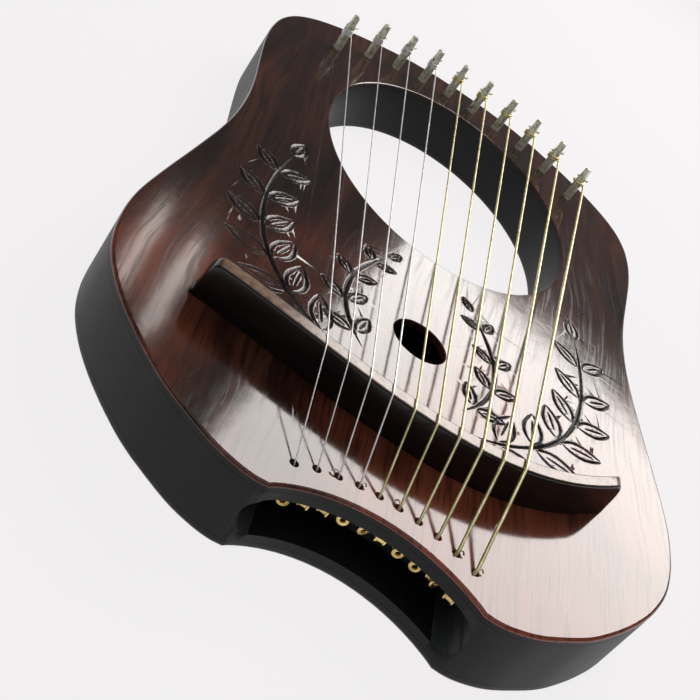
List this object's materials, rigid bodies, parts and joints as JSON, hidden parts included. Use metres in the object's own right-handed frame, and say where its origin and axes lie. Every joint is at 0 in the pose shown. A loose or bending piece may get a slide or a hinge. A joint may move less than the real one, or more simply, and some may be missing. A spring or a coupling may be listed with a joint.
{
  "type": "lyre harp",
  "caption": "Small flat lyre harp with an oval opening, curved bridge, round sound hole, upright tuning pins and ball-end metal strings.",
  "frame": {"origin": "centre of the bounding box in X and Y, on the flat back board the harp lies on", "axes": "+Z out of the front board toward the strings, +Y from the tail to the yoke with the tuning pins, +X to the right looking down on the front board"},
  "size_m": [0.2406, 0.4186, 0.051],
  "materials": {
    "front_wood": "dark reddish-brown rosewood-like veneer under high-gloss clear lacquer",
    "side_wood": "charcoal-brown stain, satin",
    "back_wood": "dark brown stain, satin gloss",
    "inner_wood": "bare softwood, unfinished",
    "bridge_wood": "near-black hardwood, semi-gloss",
    "pin_steel": "nickel-plated steel, slightly dulled",
    "steel_wire": "bright plain steel wire",
    "bronze_wire": "bright bronze-wound wire",
    "ball_brass": "plain turned brass, slightly dulled"
  },
  "bodies": {
    "harp": {"front_plate": "front_wood", "body_frame": "side_wood", "back_plate": "back_wood", "brace_upper": "inner_wood", "brace_lower": "inner_wood", "bridge_patch": "inner_wood", "bridge": "bridge_wood", "string_01": "steel_wire", "ball_end_01": "ball_brass", "string_02": "steel_wire", "ball_end_02": "ball_brass", "string_03": "steel_wire", "ball_end_03": "ball_brass", "string_04": "steel_wire", "ball_end_04": "ball_brass", "string_05": "bronze_wire", "ball_end_05": "ball_brass", "string_06": "bronze_wire", "ball_end_06": "ball_brass", "string_07": "bronze_wire", "ball_end_07": "ball_brass", "string_08": "bronze_wire", "ball_end_08": "ball_brass", "string_09": "bronze_wire", "ball_end_09": "ball_brass", "string_10": "bronze_wire", "ball_end_10": "ball_brass"},
    "pin_01": {"tuning_pin_01": "pin_steel", "string_coil_01": "steel_wire"},
    "pin_02": {"tuning_pin_02": "pin_steel", "string_coil_02": "steel_wire"},
    "pin_03": {"tuning_pin_03": "pin_steel", "string_coil_03": "steel_wire"},
    "pin_04": {"tuning_pin_04": "pin_steel", "string_coil_04": "steel_wire"},
    "pin_05": {"tuning_pin_05": "pin_steel", "string_coil_05": "bronze_wire"},
    "pin_06": {"tuning_pin_06": "pin_steel", "string_coil_06": "bronze_wire"},
    "pin_07": {"tuning_pin_07": "pin_steel", "string_coil_07": "bronze_wire"},
    "pin_08": {"tuning_pin_08": "pin_steel", "string_coil_08": "bronze_wire"},
    "pin_09": {"tuning_pin_09": "pin_steel", "string_coil_09": "bronze_wire"},
    "pin_10": {"tuning_pin_10": "pin_steel", "string_coil_10": "bronze_wire"}
  },
  "joints": [
    {"name": "pin_turn_01", "type": "hinge", "parent": "harp", "child": "pin_01", "pos_m": [-0.08097, 0.14744, 0.03], "axis": [0, 0, 1], "continuous": true},
    {"name": "pin_turn_02", "type": "hinge", "parent": "harp", "child": "pin_02", "pos_m": [-0.06387, 0.16571, 0.03], "axis": [0, 0, 1], "continuous": true},
    {"name": "pin_turn_03", "type": "hinge", "parent": "harp", "child": "pin_03", "pos_m": [-0.04676, 0.17716, 0.03], "axis": [0, 0, 1], "continuous": true},
    {"name": "pin_turn_04", "type": "hinge", "parent": "harp", "child": "pin_04", "pos_m": [-0.02965, 0.18427, 0.03], "axis": [0, 0, 1], "continuous": true},
    {"name": "pin_turn_05", "type": "hinge", "parent": "harp", "child": "pin_05", "pos_m": [-0.01255, 0.18797, 0.03], "axis": [0, 0, 1], "continuous": true},
    {"name": "pin_turn_06", "type": "hinge", "parent": "harp", "child": "pin_06", "pos_m": [0.00456, 0.18866, 0.03], "axis": [0, 0, 1], "continuous": true},
    {"name": "pin_turn_07", "type": "hinge", "parent": "harp", "child": "pin_07", "pos_m": [0.02167, 0.18639, 0.03], "axis": [0, 0, 1], "continuous": true},
    {"name": "pin_turn_08", "type": "hinge", "parent": "harp", "child": "pin_08", "pos_m": [0.03877, 0.18094, 0.03], "axis": [0, 0, 1], "continuous": true},
    {"name": "pin_turn_09", "type": "hinge", "parent": "harp", "child": "pin_09", "pos_m": [0.05588, 0.17169, 0.03], "axis": [0, 0, 1], "continuous": true},
    {"name": "pin_turn_10", "type": "hinge", "parent": "harp", "child": "pin_10", "pos_m": [0.07299, 0.15712, 0.03], "axis": [0, 0, 1], "continuous": true}
  ]
}
